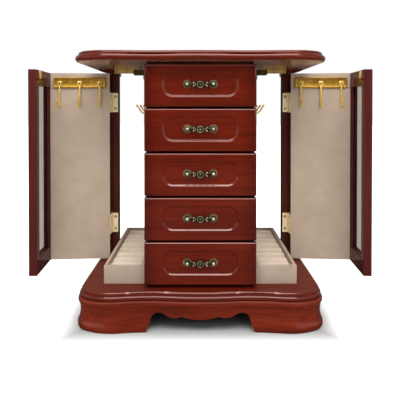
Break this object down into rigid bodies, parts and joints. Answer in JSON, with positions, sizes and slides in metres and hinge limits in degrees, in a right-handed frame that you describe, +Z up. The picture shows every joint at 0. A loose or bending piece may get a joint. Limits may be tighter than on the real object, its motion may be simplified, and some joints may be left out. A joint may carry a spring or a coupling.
{
  "type": "tabletop jewelry armoire",
  "caption": "Tabletop jewelry armoire with a tower of drawers between glazed swing doors lined in suede, necklace hooks, ring trays, a lift-up lid and a serpentine base.",
  "frame": {"origin": "on the floor under the middle of the armoire with both doors open", "axes": "+X to the armoire's left hand as seen from behind, along the width over the open doors; -Y out of the drawer fronts; +Z up"},
  "size_m": [0.4972, 0.203, 0.3682],
  "materials": {
    "mahogany": "gloss lacquer",
    "inner_wood": "satin",
    "suede": "napped suede",
    "polished_brass": "polished",
    "antique_brass": "antiqued",
    "clear_glass": "clear"
  },
  "bodies": {
    "case": {"base_board": "mahogany", "base_skirt_front": "mahogany", "base_skirt_left": "mahogany", "base_skirt_right": "mahogany", "base_skirt_back": "mahogany", "base_glue_blocks": "inner_wood", "tower_side_left": "mahogany", "tower_side_right": "mahogany", "tower_back": "mahogany", "tower_shelves": "inner_wood", "well_front_rail": "mahogany", "well_pad": "suede", "tower_linings": "suede", "tower_hook_rack_left": "polished_brass", "tower_hook_rack_right": "polished_brass", "door_catches": "polished_brass", "side_panel_left": "mahogany", "side_panel_right": "mahogany", "hinge_rail": "mahogany", "ring_tray_left": "suede", "ring_tray_right": "suede", "ring_rolls_left": "suede", "ring_rolls_right": "suede", "case_hinge_leaves_left": "polished_brass", "case_hinge_leaves_right": "polished_brass", "rail_hinge_leaves": "polished_brass", "hinge_pins": "polished_brass"},
    "drawer_1": {"drawer_front_1": "mahogany", "drawer_box_1": "inner_wood", "drawer_pull_1": "antique_brass"},
    "drawer_2": {"drawer_front_2": "mahogany", "drawer_box_2": "inner_wood", "drawer_pull_2": "antique_brass"},
    "drawer_3": {"drawer_front_3": "mahogany", "drawer_box_3": "inner_wood", "drawer_pull_3": "antique_brass"},
    "drawer_4": {"drawer_front_4": "mahogany", "drawer_box_4": "inner_wood", "drawer_pull_4": "antique_brass"},
    "drawer_5": {"drawer_front_5": "mahogany", "drawer_box_5": "inner_wood", "drawer_pull_5": "antique_brass"},
    "door_left": {"door_panel_left": "mahogany", "door_frame_left": "mahogany", "door_glass_left": "clear_glass", "door_lining_left": "suede", "door_hook_rack_left": "polished_brass", "door_strike_left": "polished_brass", "door_hinge_leaves_left": "polished_brass"},
    "door_right": {"door_panel_right": "mahogany", "door_frame_right": "mahogany", "door_glass_right": "clear_glass", "door_lining_right": "suede", "door_hook_rack_right": "polished_brass", "door_strike_right": "polished_brass", "door_hinge_leaves_right": "polished_brass"},
    "lid": {"lid": "mahogany", "lid_cornice_left": "mahogany", "lid_cornice_right": "mahogany", "lid_hinge_leaves": "polished_brass"}
  },
  "joints": [
    {"name": "drawer_1_slide", "type": "slide", "parent": "case", "child": "drawer_1", "axis": [0, -1, 0], "range_m": [0, 0.11]},
    {"name": "drawer_2_slide", "type": "slide", "parent": "case", "child": "drawer_2", "axis": [0, -1, 0], "range_m": [0, 0.11]},
    {"name": "drawer_3_slide", "type": "slide", "parent": "case", "child": "drawer_3", "axis": [0, -1, 0], "range_m": [0, 0.11]},
    {"name": "drawer_4_slide", "type": "slide", "parent": "case", "child": "drawer_4", "axis": [0, -1, 0], "range_m": [0, 0.11]},
    {"name": "drawer_5_slide", "type": "slide", "parent": "case", "child": "drawer_5", "axis": [0, -1, 0], "range_m": [0, 0.11]},
    {"name": "door_left_hinge", "type": "hinge", "parent": "case", "child": "door_left", "pos_m": [-0.1431, 0.0227, 0.2], "axis": [0, 0, 1], "range_deg": [-18.6, 86.4]},
    {"name": "door_right_hinge", "type": "hinge", "parent": "case", "child": "door_right", "pos_m": [0.1431, 0.0227, 0.2], "axis": [0, 0, -1], "range_deg": [-18.6, 86.4]},
    {"name": "lid_hinge", "type": "hinge", "parent": "case", "child": "lid", "pos_m": [0, 0.0918, 0.35295], "axis": [-1, 0, 0], "range_deg": [0, 90]}
  ]
}
